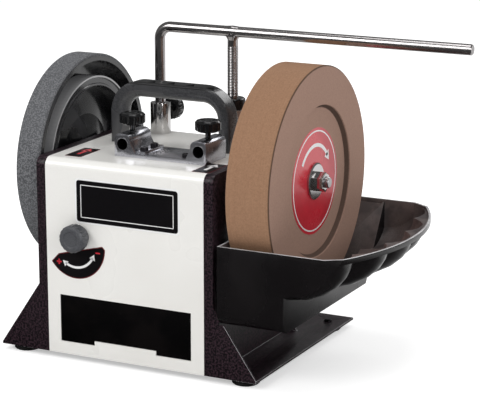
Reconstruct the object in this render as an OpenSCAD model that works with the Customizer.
// Wet grinding sharpener: a slow water-cooled stone and a honing wheel on one
// spindle, driven by a friction roller, with a tool support bar and a water trough.
// Frame: origin on the bench under the spindle, X along the spindle towards the
// stone, Y towards the back, Z up. Millimetres.

/* [Housing] */
// Width of the light front and top cover
cover_w = 192; // [180:1:204]
// Depth of the housing box, front to rear panel
body_d = 183; // [176:1:195]
// Height of the top of the housing above the bench
body_h = 225; // [222:1:240]
// Width of each dark side frame's flange
frame_w = 11; // [9:0.5:14]
// Sheet thickness of the side frames
frame_t = 2.5; // [2:0.25:3]
// Sheet thickness of the cover
cover_t = 1.5; // [1:0.25:2]
// Outer bend radius between front and top
bend_r = 10; // [6:1:14]
// Distance from the spindle forward to the housing front
front_d = 125; // [122:1:130]
// Width over the flared feet plates
base_w = 314; // [300:2:330]
// Depth of the feet plates
base_d = 256; // [246:2:264]
// Height of the flared front gussets
gusset_h = 76; // [60:1:82]

/* [Feet] */
// Diameter of the rubber feet
foot_d = 30; // [24:1:34]
// Height of the rubber feet
foot_h = 7; // [5:0.5:10]
// Distance between foot centres, side to side
foot_span_x = 272; // [262:2:276]
// Distance between foot centres, front to back
foot_span_y = 212; // [200:2:216]

/* [Spindle] */
// Height of the spindle axis above the bench
spindle_z = 200; // [198:1:204]
// Spindle diameter
spindle_d = 12; // [10:0.5:14]
// Radial running clearance of shafts in their bores
run_gap = 0.05; // [0.02:0.01:0.1]

/* [Stone] */
// Diameter of the grinding stone
stone_d = 250; // [240:1:252]
// Width of the grinding stone
stone_w = 50; // [44:1:52]
// Place of the stone's inner face along the spindle
stone_x = 121; // [119:0.5:124]
// Diameter of the recess in the stone's outer face
recess_d = 160; // [130:2:180]
// Depth of that recess
recess_t = 5.5; // [3:0.5:8]
// Diameter of the stone's outer washer
stone_washer_d = 40; // [34:1:60]

/* [Honing wheel] */
// Diameter of the honing wheel over its leather band
hone_d = 234; // [228:1:240]
// Width of the honing wheel
hone_w = 30; // [26:1:32]
// Thickness of the leather band
leather_t = 3; // [2:0.5:4]
// Place of the honing wheel's inner face along the spindle
hone_x = -109; // [-112:0.5:-108.5]
// Width of the open channel between the wheel's rim and its drive ring
channel_w = 17; // [14:0.5:20]
// Thickness of the drive ring
ring_t = 11; // [6:1:14]

/* [Drive] */
// Diameter of the friction drive roller
roller_d = 15; // [13:0.2:15.6]
// Gap between roller and drive ring with no load
nip_gap = 0.3; // [0.2:0.05:0.5]
// Gap between the motor and the rear of the housing
motor_gap = 16; // [14:1:24]
// Motor length
motor_l = 96; // [80:1:110]
// Motor shaft diameter
motor_shaft_d = 8; // [6:0.5:9]
// Distance of the motor pivot rod in front of the housing's rear
pivot_inset = 12; // [11.5:0.5:14]
// Height of the motor pivot rod
pivot_z = 64; // [60:1:68]

/* [Torque knob] */
// Sideways place of the torque knob
torque_x = -55; // [-60:1:-52]
// Height of the torque knob
torque_z = 142; // [136:1:150]
// Diameter of the torque knob
torque_d = 30; // [24:1:36]
// Depth of the torque knob
torque_l = 17; // [12:1:22]

/* [Drawer] */
// Width of the drawer window
window_w = 161; // [140:1:166]
// Height of the drawer window
window_h = 53; // [46:1:54]
// Height of the window's lower edge above the bench
window_z = 21; // [20:0.5:22]
// Width of the upstanding tab at the window's lower edge
tab_w = 76; // [50:1:90]
// Height of that tab
tab_h = 5; // [3:0.5:6]
// Drawer depth, front to back
drawer_d = 74; // [50:1:76]
// Wall of the drawer
drawer_wall = 2; // [1.5:0.25:3]

/* [Tool support] */
// Diameter of the support bar
bar_d = 12; // [11:0.25:12.5]
// Distance between the two legs and between the sleeve bores
leg_span = 92; // [88:1:96]
// Sideways place of the middle of the rear sleeves
rear_x = -2; // [-6:1:4]
// Distance of the rear sleeves in front of the housing's rear
rear_inset = 12; // [11.5:0.5:14]
// Height of the bar's middle above the top of the stone
bar_above = 22; // [18:1:36]
// Place of the free end of the bar along X
bar_end_x = 324; // [310:1:340]
// Height of the lower end of the legs
leg_end_z = 168; // [162:1:180]
// Height of the rear sleeves above the housing
rear_sleeve_h = 35; // [30:1:40]
// Outer diameter of the rear sleeves
rear_sleeve_d = 23; // [20:0.5:24]
// Sideways place of the middle of the front sleeve casting
front_x = 23; // [18:1:26]
// Distance from the housing front back to the casting
front_y = 40; // [34:1:44]
// Depth of the front sleeves
front_l = 46; // [38:1:50]
// Height of the front sleeve bores above the housing
front_bore_h = 13.5; // [12.5:0.5:16]
// Diameter of the star knobs
star_d = 28; // [24:1:32]
// Height of the star knobs
star_h = 12.5; // [10:0.5:16]

/* [Handle] */
// Sideways place of the middle of the handle
handle_x = 0; // [-4:1:6]
// Width over the handle's legs
handle_w = 148; // [140:2:156]
// Height of the handle above the housing
handle_h = 70; // [66:1:84]
// Depth of the handle's grip, front to back
handle_d = 22; // [18:1:26]
// Width of each leg
handle_leg = 9; // [7:0.5:14]
// Thickness of the grip, from its flat top to its round underside
grip_h = 18; // [15:0.5:22]
// Gap between the front sleeve casting and the grip
handle_gap = 14; // [12:1:20]

/* [Water trough] */
// Height of the trough's rim above the bench
rim_z = 152; // [148:1:156]
// Gap under the stone, down to the trough's bottom
stone_under = 9; // [6:1:14]
// Place of the trough's inner side along X
well_x = 114; // [112:0.5:116]
// Width of the deep part under the stone
well_w = 76; // [70:1:84]
// Gap in front of the stone, to the trough's front
stone_ahead = 5; // [4:0.5:10]
// Gap behind the stone, to the trough's rear rim
stone_behind = 17; // [10:1:22]
// Radius of the bowed outer rim
bow_r = 252; // [244:1:262]
// Wall of the trough
trough_wall = 2.5; // [2:0.25:3]
// Distance between the drain channels
channel_pitch = 51; // [46:1:54]
// Depth radius of a drain channel where it meets the deep part
channel_r = 52; // [44:1:56]

/* [Hidden] */
$fn = 64;

slip = 0.3;                    // play between parts that slide or turn past each other
thread_gap = 0.05;             // radial play of screws in their holes
over = 1;                      // how far a cutter runs past a face

front = -front_d;
rear = front + body_d;
web_x = cover_w / 2 + frame_w; // outer face of the side frames
web_in = web_x - frame_t;
base_back = front + base_d;
plate_top = foot_h + frame_t;
top_in = body_h - cover_t;     // underside of the cover's top
stiffener_t = 3;
pivot_d = 8;
pivot_y = rear - pivot_inset;
rear_y = rear - rear_inset;
bar_z = spindle_z + stone_d / 2 + bar_above;

bushing_r = spindle_d / 2 + 5;
stone_out = stone_x + stone_w;
hone_out = hone_x - hone_w;

rim_t = 5;                     // wall of the honing wheel's rim
ring_r = hone_d / 2 - leather_t - rim_t - channel_w;
roller_r = roller_d / 2;
motor_d = 2 * (rear - motor_gap);
motor_z = spindle_z - ring_r - nip_gap - roller_r;
motor_x0 = torque_x + 10;
shaft_end = hone_x - hone_w + 7;

seat_z = body_h;               // what stands on the top stands at this height
casting_y = front + front_y;
casting_plate_t = 4;
casting_pad_t = 6.5;           // the left end of the plate is raised
block_w = bar_d + 7;
block_h = front_bore_h + bar_d / 2 + 5.5;
casting_slope = 6;             // run of the slanted inner side of each block
casting_head_r = 4.4;
casting_screw_x = leg_span / 2 - block_w / 2 - casting_slope - casting_head_r - 0.6;
clamp_y = casting_y + front_l / 2;
clamp_d = 6;
knob_lift = 7;                 // bare stem between a block and its knob
sleeve_bore = bar_d + 0.3;
rear_top = body_h + rear_sleeve_h;
nut_h = 13;
nut_d = 28;
rear_clamp_z = body_h + 25;
lip = 3;                       // how far the casting's plate runs behind its blocks
handle_y = casting_y + front_l + lip + handle_gap + handle_d / 2;

screw_r = 3;
arm_y = pivot_y - 4;           // front face of the torque lever
spring_len = 32;               // at rest
nut_y = arm_y - spring_len;    // rear face of the torque nut at rest
spring_y0 = nut_y;

deck_t = trough_wall;
channel_z = rim_z - 3;
stud_y = [front + 47, rear - 24];
stud_z = rim_z - 20;
well_z = spindle_z - stone_d / 2 - stone_under;
trough_front = stone_d / 2 + stone_ahead;
trough_rear = stone_d / 2 + stone_behind;
back_slope = 54;               // run of the trough's slanted back wall
trough_lift = 5;               // how far the trough is lifted to come off its hooks
stud_r = 4;

// ---------------------------------------------------------------- helpers

module rod_x(x0, x1, r, y = 0, z = 0)
    translate([x0, y, z]) rotate([0, 90, 0]) cylinder(r = r, h = x1 - x0);

module rod_y(y0, y1, r, x = 0, z = 0)
    translate([x, y0, z]) rotate([-90, 0, 0]) cylinder(r = r, h = y1 - y0);

module rod_z(z0, z1, r, x = 0, y = 0)
    translate([x, y, z0]) cylinder(r = r, h = z1 - z0);

// a box from its low corner to its high corner
module block(low, high)
    translate(low) cube(high - low);

// 2D shape drawn in (Y, Z), pushed along X from x0 to x1
module side_view(x0, x1)
    translate([x0, 0, 0]) rotate([90, 0, 90]) linear_extrude(x1 - x0) children();

// 2D shape drawn in (X, Z), pushed along Y from y0 to y1
module front_view(y0, y1)
    translate([0, y1, 0]) rotate([90, 0, 0]) linear_extrude(y1 - y0) children();

// 2D shape drawn in (radius, X), turned about the spindle line at y, z
module turned_x(y = 0, z = spindle_z)
    translate([0, y, z]) rotate([0, 90, 0]) rotate([0, 0, 90]) rotate_extrude($fn = 128) children();

module rect(low, high)
    translate(low) square(high - low);

// rectangle with all four corners rounded
module round_rect(low, high, r) {
    rect(low + [r, 0], high - [r, 0]);
    rect(low + [0, r], high - [0, r]);
    for (x = [low[0] + r, high[0] - r], y = [low[1] + r, high[1] - r])
        translate([x, y]) circle(r);
}

// rectangle with its two upper corners rounded
module arch_rect(low, high, r) {
    rect(low, high - [0, r]);
    rect(low + [r, 0], high - [r, 0]);
    for (x = [low[0] + r, high[0] - r])
        translate([x, high[1] - r]) circle(r);
}

// hexagon by its width across flats
module hexagon(across)
    circle(d = across / cos(30), $fn = 6);

// ---------------------------------------------------------------- housing

// side view of the housing, with its rounded front top edge, set in by t
module housing_side(t, low) {
    r = bend_r - t;
    rect([front + t, low], [rear - t, body_h - t - r]);
    rect([front + t + r, low], [rear - t, body_h - t]);
    translate([front + t + r, body_h - t - r]) circle(r);
}

module window_shape(gap) {
    difference() {
        rect([-window_w / 2 + gap, window_z + gap], [window_w / 2 - gap, window_z + window_h - gap]);
        rect([-tab_w / 2 - gap, window_z - over], [tab_w / 2 + gap, window_z + tab_h + gap]);
    }
}

module casting_hole_places()
    for (s = [-1, 1], y = [casting_y + 12, casting_y + front_l - 12])
        translate([front_x + s * casting_screw_x, y, 0]) children();

module handle_hole_places()
    for (s = [-1, 1])
        translate([handle_x + s * (handle_w / 2 - handle_leg / 2), handle_y, 0]) children();

module leg_places()
    for (s = [-1, 1])
        translate([rear_x + s * leg_span / 2, rear_y, 0]) children();

module housing_cover() {
    color("whitesmoke")
    difference() {
        union() {
            side_view(-cover_w / 2, cover_w / 2)
            difference() {
                housing_side(0, foot_h);
                translate([cover_t, -over]) rect([front, foot_h], [rear, body_h - bend_r]);
                rect([front + bend_r, 0], [rear + over, top_in]);
                translate([front + bend_r, body_h - bend_r]) circle(bend_r - cover_t);
            }
            block([-cover_w / 2, rear - cover_t, body_h - 14], [cover_w / 2, rear, top_in]);
        }
        front_view(front - over, front + cover_t + over) window_shape(0);
        rod_y(front - over, front + cover_t + over, screw_r + slip, torque_x, torque_z);
        casting_hole_places() rod_z(top_in - over, body_h + over, 2.5 + thread_gap);
        handle_hole_places() rod_z(top_in - over, body_h + over, 2.5 + thread_gap);
        leg_places() rod_z(top_in - over, body_h + over, bar_d / 2 + 0.8);
    }
}

// front gusset; the right one is notched where the water trough hangs beside it
module gusset_shape(notched) {
    clear_x = well_x - 0.5;
    clear_z = well_z - 0.5;
    difference() {
        polygon([[web_in, foot_h], [base_w / 2, foot_h], [base_w / 2, plate_top], [web_x, foot_h + gusset_h],
                 [web_in, foot_h + gusset_h]]);
        if (notched) rect([clear_x, clear_z], [base_w / 2, foot_h + gusset_h + over]);
    }
}

// one pressed side frame, drawn on the +X side: web, flanges, flared front
// gusset, foot plate and the small rear corner gusset
module side_frame(notched) {
    side_view(web_in, web_x) housing_side(0, foot_h);
    side_view(cover_w / 2, web_in)
    difference() {
        housing_side(0, foot_h);
        housing_side(frame_t, foot_h - over);
    }
    front_view(front, front + frame_t)
        gusset_shape(notched);
    block([web_in, front, foot_h], [base_w / 2, base_back, plate_top]);
    front_view(rear - frame_t, rear)
        polygon([[web_in, plate_top], [web_x + 13, plate_top], [web_x, plate_top + 20]]);
}

module frame_foot_holes()
    for (s = [-1, 1])
        rod_z(foot_h - over, plate_top + over, 2.4 + thread_gap, foot_span_x / 2, s * foot_span_y / 2);

module side_frame_left() {
    color([0.09, 0.09, 0.1])
    difference() {
        mirror([1, 0, 0]) side_frame(false);
        rod_x(-web_x - over, -web_in + over, bushing_r + thread_gap, 0, spindle_z);
        rod_x(-web_x - over, -web_in + over, roller_r + 6, 0, motor_z);
        rod_x(-web_x - over, -web_in + over, pivot_d / 2 + thread_gap, pivot_y, pivot_z);
        mirror([1, 0, 0]) frame_foot_holes();
    }
}

module side_frame_right() {
    color([0.09, 0.09, 0.1])
    difference() {
        side_frame(true);
        rod_x(web_in - over, web_x + over, bushing_r + thread_gap, 0, spindle_z);
        rod_x(web_in - over, web_x + over, pivot_d / 2 + thread_gap, pivot_y, pivot_z);
        for (y = stud_y)
            side_view(web_in - over, web_x + over) {
                translate([y, stud_z]) circle(stud_r + slip);
                translate([y - stud_r - slip, stud_z]) square([2 * (stud_r + slip), trough_lift]);
                translate([y, stud_z + trough_lift]) circle(stud_r + 4 + slip);
            }
        frame_foot_holes();
    }
}

base_lip = 8;                  // height of the base plate's upturned front lip

module base_plate() {
    color("dimgray") {
        block([-web_in, front + frame_t, foot_h], [web_in, rear - frame_t, plate_top]);
        block([-cover_w / 2, front + cover_t, foot_h], [cover_w / 2, front + frame_t, plate_top]);
        block([-cover_w / 2, front + cover_t, plate_top],
              [cover_w / 2, front + cover_t + 1.5, plate_top + base_lip]);
    }
}

vent_low = 84;
vent_high = 132;
vent_pitch = 11;

module rear_panel() {
    panel_out = rear - frame_t;
    color([0.12, 0.12, 0.13])
    difference() {
        block([-web_in, panel_out - 1.5, plate_top], [web_in, panel_out, body_h - 16]);
        for (i = [-4 : 4])
            front_view(panel_out - 1.5 - over, panel_out + over)
                round_rect([i * vent_pitch - 2, vent_low], [i * vent_pitch + 2, vent_high], 1.9);
        rod_y(panel_out - 1.5 - over, panel_out + over, 3 + slip, dial_x, dial_z);
        front_view(panel_out - 1.5 - over, panel_out + over)
            rect([switch_x - 11, switch_z - 14], [switch_x + 11, switch_z + 14]);
        rod_y(panel_out - 1.5 - over, panel_out + over, gland_r + thread_gap, gland_x, gland_z);
    }
}

module top_stiffener() {
    color("dimgray")
    difference() {
        block([-web_in, casting_y - 10, top_in - stiffener_t], [web_in, rear - 1.5 - frame_t, top_in]);
        casting_hole_places() rod_z(top_in - stiffener_t - over, top_in + over, 2.5 + thread_gap);
        handle_hole_places() rod_z(top_in - stiffener_t - over, top_in + over, 2.5 + thread_gap);
        leg_places() rod_z(top_in - stiffener_t - over, top_in + over, bar_d / 2 + 0.8);
        for (s = [-1, 1])
            block([s > 0 ? cover_w / 2 : -web_in - over, casting_y - 20, body_h - frame_t],
                  [s > 0 ? web_in + over : -cover_w / 2, rear, top_in + over]);
    }
}

module foot_places()
    for (sx = [-1, 1], sy = [-1, 1])
        translate([sx * foot_span_x / 2, sy * foot_span_y / 2, 0]) children();

module rubber_feet() {
    color([0.07, 0.07, 0.07])
    foot_places()
    difference() {
        rotate_extrude()
            polygon([[0, 0], [foot_d / 2 - 1.5, 0], [foot_d / 2, 1.5], [foot_d / 2 - 1, foot_h], [0, foot_h]]);
        rod_z(2, foot_h + over, 2.4 + thread_gap);
    }
}

module foot_screws() {
    color("silver")
    foot_places()
    rotate_extrude()
        polygon([[0, 2.5], [2.4, 2.5], [2.4, plate_top], [4.6, plate_top], [4.6, plate_top + 1.2],
                 [3.2, plate_top + 2.6], [0, plate_top + 2.6]]);
}

// ---------------------------------------------------------------- drawer

drawer_half = window_w / 2 - 0.4;
skid_z = window_z + 0.4;
drawer_floor = window_z + tab_h + 0.8;
runner_top = skid_z - slip;
runner_back = front + drawer_d + 3;
runner_front = front + 8;
runner_w = 12;                 // width of the shelf under the drawer's skid
runner_t = 2;
runner_h = 26;                 // how far the runner's side stands above the window's lower edge

module drawer_runners() {
    color("gray")
    for (m = [0, 1]) mirror([m, 0, 0]) {
        side_x = drawer_half + slip;
        block([side_x - runner_w, runner_front, runner_top - runner_t],
              [side_x + runner_t, runner_back, runner_top]);
        block([side_x, runner_front, plate_top], [side_x + runner_t, runner_back, window_z + runner_h]);
    }
}

module storage_drawer() {
    w = drawer_wall;
    back = front + drawer_d;
    color([0.1, 0.1, 0.11])
    difference() {
        union() {
            front_view(front + 0.2, front + 2.6) window_shape(0.4);
            difference() {
                block([-drawer_half, front + 2.6, drawer_floor], [drawer_half, back, window_z + window_h - 7]);
                block([-drawer_half + w, front + 2.6, drawer_floor + w],
                      [drawer_half - w, back - w, window_z + window_h]);
            }
            for (s = [-1, 1])
                block([s > 0 ? drawer_half - 8 : -drawer_half, front + 2.6, skid_z],
                      [s > 0 ? drawer_half : -drawer_half + 8, back, drawer_floor]);
        }
    }
}

// ---------------------------------------------------------------- front sleeves

// one sleeve block; its inner side, towards the middle, slants down to the plate
module casting_block(side)
    translate([front_x + side * leg_span / 2, 0, 0])
    front_view(casting_y, casting_y + front_l)
    difference() {
        union() {
            arch_rect([-block_w / 2, seat_z], [block_w / 2, seat_z + block_h], 7);
            scale([side, 1])
                polygon([[0, seat_z], [-block_w / 2 - casting_slope, seat_z],
                         [-block_w / 2 - casting_slope, seat_z + casting_plate_t],
                         [-block_w / 2 + 4, seat_z + block_h - 1.4], [0, seat_z + block_h - 1.4]]);
        }
        translate([0, seat_z + front_bore_h]) circle(sleeve_bore / 2);
    }

module front_bore_places()
    for (s = [-1, 1])
        translate([front_x + s * leg_span / 2, 0, 0]) children();

module front_sleeve_casting() {
    left = front_x - leg_span / 2;
    right = front_x + leg_span / 2;
    color("silver")
    difference() {
        union() {
            casting_block(-1);
            casting_block(1);
            block([left + block_w / 2, casting_y, seat_z],
                  [right - block_w / 2, casting_y + front_l + lip, seat_z + casting_plate_t]);
            block([left + block_w / 2, casting_y + 4, seat_z],
                  [left + block_w / 2 + casting_slope + 10, casting_y + front_l, seat_z + casting_pad_t]);
        }
        front_bore_places()
            rod_z(seat_z + front_bore_h, seat_z + block_h + over, clamp_d / 2 + thread_gap, 0, clamp_y);
        casting_hole_places() rod_z(seat_z - over, seat_z + 12, 2.5 + thread_gap);
    }
}

// round-headed socket screw standing on z, its shank reaching down into the stiffener
module cap_screw(z, head_h = 4) {
    head_r = casting_head_r;
    rotate_extrude()
        polygon([[0, top_in - stiffener_t], [2.5, top_in - stiffener_t], [2.5, z], [head_r, z],
                 [head_r, z + head_h - 0.6], [head_r - 0.6, z + head_h], [2.2, z + head_h], [2.2, z + 1.6],
                 [0, z + 1.6]]);
}

module casting_screws() {
    color("dimgray")
    for (s = [-1, 1], y = [casting_y + 12, casting_y + front_l - 12])
        translate([front_x + s * casting_screw_x, y, 0]) cap_screw(seat_z + (s < 0 ? casting_pad_t : casting_plate_t));
}

flutes = 14;

// fluted knob with its stem: the stem's tip is at z = 0 and the knob stands above
module star_knob(stem) {
    rod_z(0, stem, clamp_d / 2);
    translate([0, 0, stem])
    difference() {
        rotate_extrude()
            polygon([[0, 0], [star_d / 2 - 3, 0], [star_d / 2, 2], [star_d / 2, star_h - 2.5],
                     [star_d / 2 - 2, star_h - 0.4], [star_d / 2 - 4, star_h], [0, star_h]]);
        for (i = [1 : flutes]) rotate([0, 0, i * 360 / flutes])
            rod_z(-over, star_h - 2.8, 1.9, star_d / 2 + 0.7, 0);
        rod_z(star_h - 0.8, star_h + over, star_d / 2 - 5.5);
    }
}

clamp_tip_z = seat_z + front_bore_h + bar_d / 2 + 0.5;

module front_clamp_knob(side)
    color([0.08, 0.08, 0.08])
    translate([front_x + side * leg_span / 2, clamp_y, clamp_tip_z])
        star_knob(seat_z + block_h + knob_lift - clamp_tip_z);

module front_clamp_knob_left() { front_clamp_knob(-1); }
module front_clamp_knob_right() { front_clamp_knob(1); }

// ---------------------------------------------------------------- rear sleeves

rear_boss_y = rear_y + rear_sleeve_d / 2 + 4;

module rear_sleeve(side)
    color("silver")
    translate([rear_x + side * leg_span / 2, 0, 0])
    difference() {
        union() {
            rod_z(body_h, rear_top, rear_sleeve_d / 2, 0, rear_y);
            rod_y(rear_y, rear_boss_y, 7.5, 0, rear_clamp_z);
        }
        rod_z(body_h - over, rear_top + over, sleeve_bore / 2, 0, rear_y);
        rod_y(rear_y, rear_boss_y + over, clamp_d / 2 + thread_gap, 0, rear_clamp_z);
    }

module rear_sleeve_left() { rear_sleeve(-1); }
module rear_sleeve_right() { rear_sleeve(1); }

module rear_clamp_knob(side)
    color([0.08, 0.08, 0.08])
    translate([rear_x + side * leg_span / 2, rear_y + bar_d / 2 + 0.5, rear_clamp_z])
        rotate([-90, 0, 0]) star_knob(rear_boss_y + 5 - (rear_y + bar_d / 2 + 0.5));

module rear_clamp_knob_left() { rear_clamp_knob(-1); }
module rear_clamp_knob_right() { rear_clamp_knob(1); }

// ---------------------------------------------------------------- support bar

bar_bend_r = 14;
weld_reach = 8;                // half width of the weld round the T

module support_bar() {
    r = bar_d / 2;
    left = rear_x - leg_span / 2;
    right = rear_x + leg_span / 2;
    color("silver")
    translate([0, rear_y, 0]) {
        rod_z(leg_end_z, bar_z - bar_bend_r, r, left);
        translate([left + bar_bend_r, 0, bar_z - bar_bend_r])
            rotate([90, 0, 0]) rotate([0, 0, 90])
                rotate_extrude(angle = 90) translate([bar_bend_r, 0]) circle(r);
        rod_x(left + bar_bend_r, bar_end_x - 1, r, 0, bar_z);
        translate([bar_end_x - 1, 0, bar_z]) rotate([0, 90, 0]) cylinder(r1 = r, r2 = r - 1, h = 1);
        rod_z(leg_end_z, bar_z, r, right);
        translate([right, 0, bar_z - r - 3]) cylinder(r1 = r, r2 = r + 2, h = 4);
        for (m = [0, 1]) translate([right, 0, bar_z]) mirror([m, 0, 0]) rotate([0, 90, 0])
            cylinder(r1 = r + 0.7, r2 = r, h = weld_reach);
    }
}

module micro_adjust_nut() {
    color([0.08, 0.08, 0.08])
    translate([rear_x + leg_span / 2, rear_y, rear_top + 0.1])
    difference() {
        rotate_extrude()
            polygon([[bar_d / 2 + run_gap, 0], [nut_d / 2 - 1, 0], [nut_d / 2, 1], [nut_d / 2, nut_h - 1.5],
                     [nut_d / 2 - 1.5, nut_h], [bar_d / 2 + run_gap, nut_h]]);
        for (a = [0 : 30 : 330]) rotate([0, 0, a]) rod_z(-over, nut_h + over, 1.6, nut_d / 2 + 0.6, 0);
    }
}

// ---------------------------------------------------------------- handle

bend_out = 36;                 // outer radius of the handle's bends
top_edge_r = 2.5;

// section of the grip: flat on top (at y = 0), round below
module grip_section() {
    half = handle_d / 2;
    r = half - 0.1;
    rect([-half + top_edge_r, -top_edge_r], [half - top_edge_r, 0]);
    rect([-half, r - grip_h], [half, -top_edge_r]);
    rect([-half + r, -grip_h], [half - r, r - grip_h]);
    for (s = [-1, 1]) {
        translate([s * (half - top_edge_r), -top_edge_r]) circle(top_edge_r);
        intersection() {
            translate([s * (half - r), r - grip_h]) circle(r);
            rect([-half - over, -grip_h - over], [half + over, r - grip_h]);
        }
    }
}

module carry_handle() {
    half = handle_w / 2;
    low = body_h;
    high = body_h + handle_h;
    color([0.12, 0.12, 0.12])
    translate([handle_x, handle_y, 0])
    difference() {
        union() {
            translate([bend_out - half, 0, high]) rotate([90, 0, 90])
                linear_extrude(handle_w - 2 * bend_out) grip_section();
            for (m = [0, 1]) mirror([m, 0, 0]) {
                translate([half - bend_out, 0, high - bend_out]) rotate([-90, 0, 0]) rotate([0, 0, -90])
                    rotate_extrude(angle = 90) translate([bend_out, 0]) rotate(-90) grip_section();
                translate([half, 0, low]) linear_extrude(handle_h - bend_out) rotate(-90) grip_section();
            }
        }
        for (m = [0, 1]) mirror([m, 0, 0]) front_view(-handle_d, handle_d)
            polygon([[half - grip_h - over, low - over], [half - handle_leg, low - over], [half - handle_leg, low],
                     [half - grip_h, high - bend_out], [half - grip_h - over, high - bend_out]]);
        for (i = [-2 : 2])
            translate([i * 24, -handle_d / 2, high - 5]) linear_extrude(5 + over)
                polygon([[-5.5, 3], [5.5, 3], [0, 14]]);
        for (m = [0, 1]) mirror([m, 0, 0])
            rod_z(low - over, low + 14, 2.5 + thread_gap, half - handle_leg / 2, 0);
    }
}

module handle_screws() {
    color("dimgray")
    handle_hole_places()
    rotate_extrude()
        polygon([[0, top_in - stiffener_t - 3], [4.5, top_in - stiffener_t - 3], [4.5, top_in - stiffener_t],
                 [2.5, top_in - stiffener_t], [2.5, body_h + 13], [0, body_h + 13]]);
}

// ---------------------------------------------------------------- spindle and wheels

flange_w = 7.6;
bushing_in = 8;                // how far a bushing's flange stands inside its web
collar_w = 7.7;
washer_t = 3;
nut_t = 10;
spindle_right = stone_out - recess_t + washer_t + nut_t + 5;
hone_nut_x = hone_out - 3;

module spindle_shaft() {
    color("silver")
    difference() {
        union() {
            rod_x(hone_nut_x - 12, spindle_right - 1, spindle_d / 2, 0, spindle_z);
            translate([spindle_right - 1, 0, spindle_z]) rotate([0, 90, 0])
                cylinder(r1 = spindle_d / 2, r2 = spindle_d / 2 - 1, h = 1);
            for (m = [0, 1]) mirror([m, 0, 0])
                rod_x(web_in - bushing_in - slip - collar_w, web_in - bushing_in - slip, spindle_d / 2 + 5,
                      0, spindle_z);
        }
    }
}

// flanged plain bearing on the +X web; its outer end stops at x_out
module bushing(x_out)
    turned_x()
        polygon([[spindle_d / 2 + run_gap, web_in - bushing_in], [bushing_r + 4, web_in - bushing_in],
                 [bushing_r + 4, web_in],
                 [bushing_r, web_in], [bushing_r, x_out], [spindle_d / 2 + run_gap, x_out]]);

module spindle_bushings() {
    color("goldenrod") {
        bushing(stone_x - flange_w - 0.4);
        mirror([1, 0, 0]) bushing(web_x + 1);
    }
}

module stone_flange() {
    color("gray")
    turned_x()
        polygon([[spindle_d / 2 + thread_gap, stone_x - flange_w], [12, stone_x - flange_w],
                 [14, stone_x - 4], [25, stone_x - 3], [25, stone_x], [spindle_d / 2 + thread_gap, stone_x]]);
}

module grinding_stone() {
    r = stone_d / 2;
    edge = 1;
    seat = stone_out - recess_t;
    color([0.66, 0.53, 0.4])
    turned_x()
        polygon([[spindle_d / 2 + thread_gap, stone_x], [r - edge, stone_x], [r, stone_x + edge], [r, stone_out - edge],
                 [r - edge, stone_out], [recess_d / 2 + 3, stone_out], [recess_d / 2, seat],
                 [spindle_d / 2 + thread_gap, seat]]);
}

module stone_washer() {
    seat = stone_out - recess_t;
    color("silver")
    turned_x()
        polygon([[spindle_d / 2 + thread_gap, seat], [stone_washer_d / 2, seat],
                 [stone_washer_d / 2, seat + washer_t - 1], [stone_washer_d / 2 - 1.5, seat + washer_t],
                 [spindle_d / 2 + thread_gap, seat + washer_t]]);
}

// hexagon nut on the spindle line, between x0 and x1
module spindle_nut(x0, x1)
    difference() {
        translate([x0, 0, spindle_z]) rotate([0, 90, 0]) linear_extrude(x1 - x0) hexagon(19);
        rod_x(x0 - over, x1 + over, spindle_d / 2 + thread_gap, 0, spindle_z);
    }

module stone_nut() {
    seat = stone_out - recess_t + washer_t;
    color("silver") spindle_nut(seat, seat + nut_t);
}

module honing_wheel() {
    r = hone_d / 2 - leather_t;
    bore = spindle_d / 2 + thread_gap;
    ring_in = ring_r - ring_t;
    channel = r - rim_t;
    web = hone_out + 5;
    color([0.16, 0.16, 0.17])
    turned_x()
        polygon([[bore, hone_out], [20, hone_out], [22, hone_out + 2.5], [channel - 4, hone_out + 2.5],
                 [channel - 2, hone_out], [r, hone_out], [r, hone_x], [channel, hone_x], [channel, web],
                 [ring_r, web], [ring_r, hone_x], [ring_r - 2, hone_x], [ring_r - 3, hone_x - 1.5],
                 [ring_in + 3, hone_x - 1.5], [ring_in + 2, hone_x], [ring_in, hone_x], [ring_in, hone_x - 17],
                 [48, hone_x - 12], [26, hone_x - 6], [18, hone_x - 4], [18, hone_x - 1.5], [bore, hone_x - 1.5]]);
}

module leather_band() {
    r = hone_d / 2;
    color([0.3, 0.3, 0.31])
    turned_x()
        polygon([[r - leather_t, hone_out + 0.5], [r - 1, hone_out + 0.5], [r, hone_out + 1.5], [r, hone_x - 1.5],
                 [r - 1, hone_x - 0.5], [r - leather_t, hone_x - 0.5]]);
}

module honing_wheel_nut() {
    bore = spindle_d / 2 + thread_gap;
    color("silver") {
        turned_x() polygon([[bore, hone_nut_x], [15, hone_nut_x], [15, hone_out], [bore, hone_out]]);
        spindle_nut(hone_nut_x - 10, hone_nut_x);
    }
}

// ---------------------------------------------------------------- drive

motor_r = motor_d / 2;
motor_band = 22;               // from each end of the motor to its wider middle
cheek_t = 6;

module motor_body() {
    color([0.35, 0.36, 0.38])
    difference() {
        turned_x(0, motor_z)
            polygon([[motor_shaft_d / 2 + run_gap, motor_x0], [18, motor_x0], [20, motor_x0 + 4], [motor_r - 6, motor_x0 + 7],
                     [motor_r - 2, motor_x0 + 12], [motor_r - 2, motor_x0 + motor_band],
                     [motor_r, motor_x0 + motor_band], [motor_r, motor_x0 + motor_l - motor_band],
                     [motor_r - 2, motor_x0 + motor_l - motor_band],
                     [motor_r - 2, motor_x0 + motor_l - 10], [motor_r - 7, motor_x0 + motor_l - 4],
                     [motor_r - 16, motor_x0 + motor_l], [motor_shaft_d / 2 + run_gap, motor_x0 + motor_l]]);
    }
}

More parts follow.
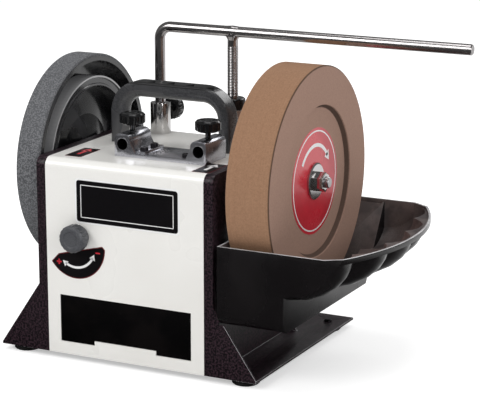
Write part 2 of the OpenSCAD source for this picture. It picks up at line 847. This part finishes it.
// lever plate on the pivot rod with a clamp ring round the motor
module bracket_cheek(x0, x1)
    side_view(x0, x1)
    difference() {
        union() {
            translate([0, motor_z]) circle(motor_r + 3);
            translate([pivot_y, pivot_z]) circle(7);
            polygon([[0, motor_z - motor_r - 3], [pivot_y, pivot_z - 7], [pivot_y + 7, pivot_z], [pivot_y - 2, motor_z]]);
        }
        translate([0, motor_z]) circle(motor_r);
        translate([pivot_y, pivot_z]) circle(pivot_d / 2 + run_gap);
    }

module motor_bracket() {
    x0 = motor_x0 + motor_band + 4;
    x1 = motor_x0 + motor_l - motor_band - 4 - cheek_t;
    color("slategray") {
        bracket_cheek(x0, x0 + cheek_t);
        bracket_cheek(x1, x1 + cheek_t);
        difference() {
            union() {
                rod_x(torque_x - 6, x1, 7, pivot_y, pivot_z);
                block([torque_x - 6, arm_y, pivot_z], [torque_x + 6, pivot_y + 2, torque_z + 9]);
            }
            rod_x(torque_x - 6 - over, x1 + over, pivot_d / 2 + run_gap, pivot_y, pivot_z);
            rod_x(x0, x0 + cheek_t, 7.2, pivot_y, pivot_z);
        }
        rod_y(arm_y - 3, arm_y, 3.4, torque_x, torque_z);
    }
}

module motor_pivot_rod() {
    color("silver") rod_x(-web_x, web_x, pivot_d / 2, pivot_y, pivot_z);
}

module motor_shaft() {
    color("silver") rod_x(shaft_end - 1, motor_x0 + motor_l - 6, motor_shaft_d / 2, 0, motor_z);
}

module drive_roller() {
    bore = motor_shaft_d / 2;
    color([0.1, 0.1, 0.1])
    turned_x(0, motor_z)
        polygon([[bore, shaft_end], [roller_r - 0.5, shaft_end], [roller_r, shaft_end + 0.5], [roller_r, hone_x - 1],
                 [bore, hone_x - 1]]);
}

// ---------------------------------------------------------------- torque adjuster

knob_gap = 1.5;

module torque_knob() {
    r = torque_d / 2;
    l = torque_l;
    color([0.25, 0.25, 0.26])
    translate([torque_x, front - knob_gap, torque_z]) rotate([90, 0, 0])
    difference() {
        rotate_extrude()
            polygon([[screw_r, 0], [r - 2, 0], [r - 2, 3], [r, 4], [r, l - 2.5], [r - 2.5, l], [r - 6, l], [r - 7, l - 1],
                     [0, l - 1], [0, l - 6], [screw_r, l - 6]]);
        for (a = [0 : 20 : 340]) rotate([0, 0, a]) rod_z(3.5, l + over, 1.3, r + 0.4, 0);
    }
}

module torque_screw() {
    color("silver")
    rod_y(front - knob_gap - torque_l + 6, nut_y - 4, screw_r, torque_x, torque_z);
}

nut_half = 6;
guide_wall = 2;
guide_l = 76;
guide_y1 = nut_y + 4;
guide_y0 = guide_y1 - guide_l;
shelf_d = 40;

module torque_nut() {
    color("goldenrod")
    difference() {
        block([torque_x - nut_half, nut_y - 12, torque_z - nut_half],
              [torque_x + nut_half, nut_y, torque_z + nut_half]);
        rod_y(nut_y - 12 - over, nut_y + over, screw_r + run_gap, torque_x, torque_z);
    }
}

// square tube that keeps the nut from turning, on a shelf from the left side frame
module torque_guide() {
    inner = nut_half + slip;
    outer = inner + guide_wall;
    color("slategray")
    difference() {
        union() {
            block([torque_x - outer, guide_y0, torque_z - outer], [torque_x + outer, guide_y1, torque_z + outer]);
            block([-web_in, guide_y0, torque_z - outer], [torque_x, guide_y0 + shelf_d, torque_z - inner]);
            block([-web_in, guide_y0, torque_z - outer],
                  [-web_in + guide_wall, guide_y0 + shelf_d, torque_z + outer + 4]);
        }
        block([torque_x - inner, guide_y0 + 3, torque_z - inner],
              [torque_x + inner, guide_y1 + over, torque_z + inner]);
        rod_y(guide_y0 - over, guide_y0 + 4, screw_r + run_gap, torque_x, torque_z);
    }
}

// coil spring between the nut and the lever, one swept wire
spring_r = 4.8;
wire_r = 0.9;
spring_turns = 6;
spring_steps = 16;
spring_sides = 8;

function coil_point(i) =
    let (n = spring_turns * spring_steps, t = i / n, a = 360 * spring_turns * t)
    [spring_r * cos(a), spring_r * sin(a), wire_r + 0.05 + t * (spring_len - 2 * wire_r - 0.1)];

module torque_spring() {
    n = spring_turns * spring_steps;
    m = spring_sides;
    points = [for (i = [0 : n]) for (j = [0 : m - 1])
        let (a = 360 * i / spring_steps, b = 360 * j / m, p = coil_point(i))
        p + [cos(a) * wire_r * cos(b), sin(a) * wire_r * cos(b), wire_r * sin(b)]];
    faces = concat(
        [[for (j = [0 : m - 1]) j]],
        [[for (j = [m - 1 : -1 : 0]) n * m + j]],
        [for (i = [0 : n - 1]) for (j = [0 : m - 1])
            let (k = (j + 1) % m) [i * m + j, (i + 1) * m + j, (i + 1) * m + k, i * m + k]]);
    color("silver")
    translate([torque_x, spring_y0, torque_z]) rotate([-90, 0, 0]) polyhedron(points, faces, convexity = 6);
}

// ---------------------------------------------------------------- water trough

bow_x = 30;                    // centre of the bowed rim along X
corner_cut = 11;
well_out = well_x + well_w;

function bow_reach(y, t) = bow_x + sqrt(pow(bow_r - t, 2) - y * y);

// plan of the rim, set in by t: straight inner side, front and back, bowed outer
// side, and the two outer corners cut off
module trough_plan(t) {
    y0 = -trough_front + t;
    y1 = trough_rear - t;
    x0 = bow_reach(y0, t) - corner_cut;
    x1 = bow_reach(y1, t) - corner_cut;
    run0 = bow_reach(y0 + corner_cut, t) - x0;
    run1 = bow_reach(y1 - corner_cut, t) - x1;
    intersection() {
        translate([bow_x, 0]) circle(bow_r - t, $fn = 256);
        polygon([[well_x + t, y0], [x0, y0], [x0 + 3 * run0, y0 + 3 * corner_cut],
                 [x1 + 3 * run1, y1 - 3 * corner_cut], [x1, y1], [well_x + t, y1]]);
    }
}

// side view of the deep part, set in by t
module well_side(t) {
    y0 = -trough_front + t;
    y1 = trough_rear - t * 1.15;
    z0 = well_z + t;
    c = 14 - t;
    difference() {
        union() {
            polygon([[y0 + c, z0], [trough_rear - back_slope, z0], [y1, rim_z], [y0, rim_z], [y0, z0 + c]]);
            translate([y0 + c, z0 + c]) circle(c);
        }
    }
}

// one drain channel: half of a blunt bullet lying along X, its nose under the rim
module channel(y, t, x0) {
    r = channel_r - t;
    reach = bow_reach(abs(y) + 4, trough_wall + 2) - t - well_out;
    turned_x(y, channel_z + 2)
        polygon(concat(
            [[0, x0], [r, x0]],
            [for (a = [0, 18, 34, 49, 62, 73, 82]) [r * cos(a), well_out + reach * sin(a)]],
            [[0, well_out + reach * sin(82)]]));
}

module channels(t, x0)
    intersection() {
        union() for (i = [-2 : 2]) channel(i * channel_pitch, t, x0);
        translate([0, 0, well_z]) linear_extrude(channel_z - well_z) trough_plan(t);
    }

module water_trough() {
    w = trough_wall;
    color([0.08, 0.08, 0.09])
    difference() {
        union() {
            side_view(well_x, well_out) well_side(0);
            channels(0, well_out - w);
            translate([0, 0, channel_z - deck_t]) linear_extrude(rim_z - channel_z + deck_t) trough_plan(0);
        }
        side_view(well_x + w, well_out - w) union() {
            well_side(w);
            rect([-trough_front + w, rim_z - 5], [trough_rear - w, rim_z + over]);
        }
        channels(w, well_out);
        intersection() {
            channels(w, well_out - w - over);
            side_view(well_out - w - over, well_out + over) well_side(w);
        }
        translate([0, 0, channel_z]) linear_extrude(rim_z - channel_z + over) trough_plan(w);
    }
}

module trough_studs() {
    color("silver")
    for (y = stud_y) {
        rod_x(web_in - slip, well_x, stud_r, y, stud_z);
        rod_x(web_in - slip - 3, web_in - slip, stud_r + 4, y, stud_z);
    }
}

// ---------------------------------------------------------------- controls and electrics

panel_back = rear - frame_t;
dial_x = -cover_w / 2 + 26;
dial_z = body_h - 47;
switch_x = cover_w / 2 - 28;
switch_z = body_h - 47;
gland_x = 62;
gland_z = 36;
gland_r = 8;
board_half = 30;
board_low = dial_z - 32;
board_high = dial_z + 22;
board_gap = 10.4;              // from the board to the outside of the rear panel
board_t = 1.6;

module speed_dial() {
    r = 15;
    l = 14;
    color([0.08, 0.08, 0.08])
    translate([dial_x, panel_back + 0.5, dial_z]) rotate([-90, 0, 0])
    difference() {
        union() {
            rotate_extrude()
                polygon([[0, 0], [r, 0], [r, 2.4], [r - 4, 2.4], [r - 4, l - 1], [r - 5, l], [0, l]]);
            rod_z(-8, 1, 3);
        }
        block([-0.7, r - 11, l - 0.8], [0.7, r - 6, l + over]);
        for (a = [0 : 40 : 320]) rotate([0, 0, a + 10]) rod_z(3.2, l + over, 1.5, r - 3.2, 0);
    }
}

module speed_control() {
    color([0.2, 0.35, 0.25])
    difference() {
        union() {
            rod_y(panel_back - 14, panel_back - 1.5, 9, dial_x, dial_z);
            block([dial_x - 9, panel_back - 12, dial_z - 14], [dial_x + 9, panel_back - 9, dial_z]);
        }
        rod_y(panel_back - 9, panel_back, 3 + run_gap, dial_x, dial_z);
    }
}

module switch_body() {
    color([0.08, 0.08, 0.08])
    difference() {
        union() {
            block([switch_x - 11, panel_back - 22, switch_z - 14], [switch_x + 11, panel_back, switch_z + 14]);
            block([switch_x - 13, panel_back, switch_z - 16], [switch_x + 13, panel_back + 2, switch_z + 16]);
        }
        block([switch_x - 8, panel_back - 8, switch_z - 12], [switch_x + 8, panel_back + 3, switch_z + 12]);
        rod_x(switch_x - 10, switch_x + 10, 1.5 + run_gap, panel_back - 2, switch_z);
    }
}

// rocker: two faces that meet at a shallow valley over its pivot
module switch_rocker() {
    color([0.75, 0.1, 0.08])
    translate([0, panel_back - 2, switch_z]) {
        side_view(switch_x - 7.6, switch_x + 7.6)
            rotate(6) polygon([[-3, -5], [-3, 5], [2.2, 10.2], [6.2, 10.6], [3.2, 0], [6.2, -10.6], [2.2, -10.2]]);
        rod_x(switch_x - 9.6, switch_x + 9.6, 1.5);
    }
}

module circuit_board() {
    color([0.1, 0.35, 0.2]) {
        front = panel_back - board_gap - board_t;
        block([-board_half, front, board_low], [board_half, panel_back - board_gap, board_high]);
        block([8 - board_half, front - 10, board_low + 6], [24 - board_half, front, board_low + 26]);
        rod_y(front - 18, front, 6, 14, board_high - 16);
        for (s = [-1, 1], z = [board_low + 4, board_high - 4])
            rod_y(panel_back - board_gap, panel_back - 1.5, 2.5, s * (board_half - 4), z);
    }
}

module cable_gland() {
    color([0.08, 0.08, 0.08])
    difference() {
        union() {
            rod_y(panel_back - 6, panel_back, gland_r, gland_x, gland_z);
            rod_y(panel_back, panel_back + 5, gland_r + 3, gland_x, gland_z);
            translate([gland_x, panel_back + 5, gland_z]) rotate([-90, 0, 0])
                cylinder(r1 = gland_r + 1, r2 = gland_r - 2, h = 13);
        }
        rod_y(panel_back + 8, panel_back + 18 + over, 3.4, gland_x, gland_z);
    }
}

// ---------------------------------------------------------------- assembly

housing_cover();
side_frame_left();
side_frame_right();
base_plate();
rear_panel();
top_stiffener();
rubber_feet();
foot_screws();
drawer_runners();
storage_drawer();
front_sleeve_casting();
casting_screws();
front_clamp_knob_left();
front_clamp_knob_right();
rear_sleeve_left();
rear_sleeve_right();
rear_clamp_knob_left();
rear_clamp_knob_right();
support_bar();
micro_adjust_nut();
carry_handle();
handle_screws();
spindle_shaft();
spindle_bushings();
stone_flange();
grinding_stone();
stone_washer();
stone_nut();
honing_wheel();
leather_band();
honing_wheel_nut();
motor_body();
motor_bracket();
motor_pivot_rod();
motor_shaft();
drive_roller();
torque_knob();
torque_screw();
torque_nut();
torque_guide();
torque_spring();
water_trough();
trough_studs();
speed_dial();
speed_control();
switch_body();
switch_rocker();
circuit_board();
cable_gland();
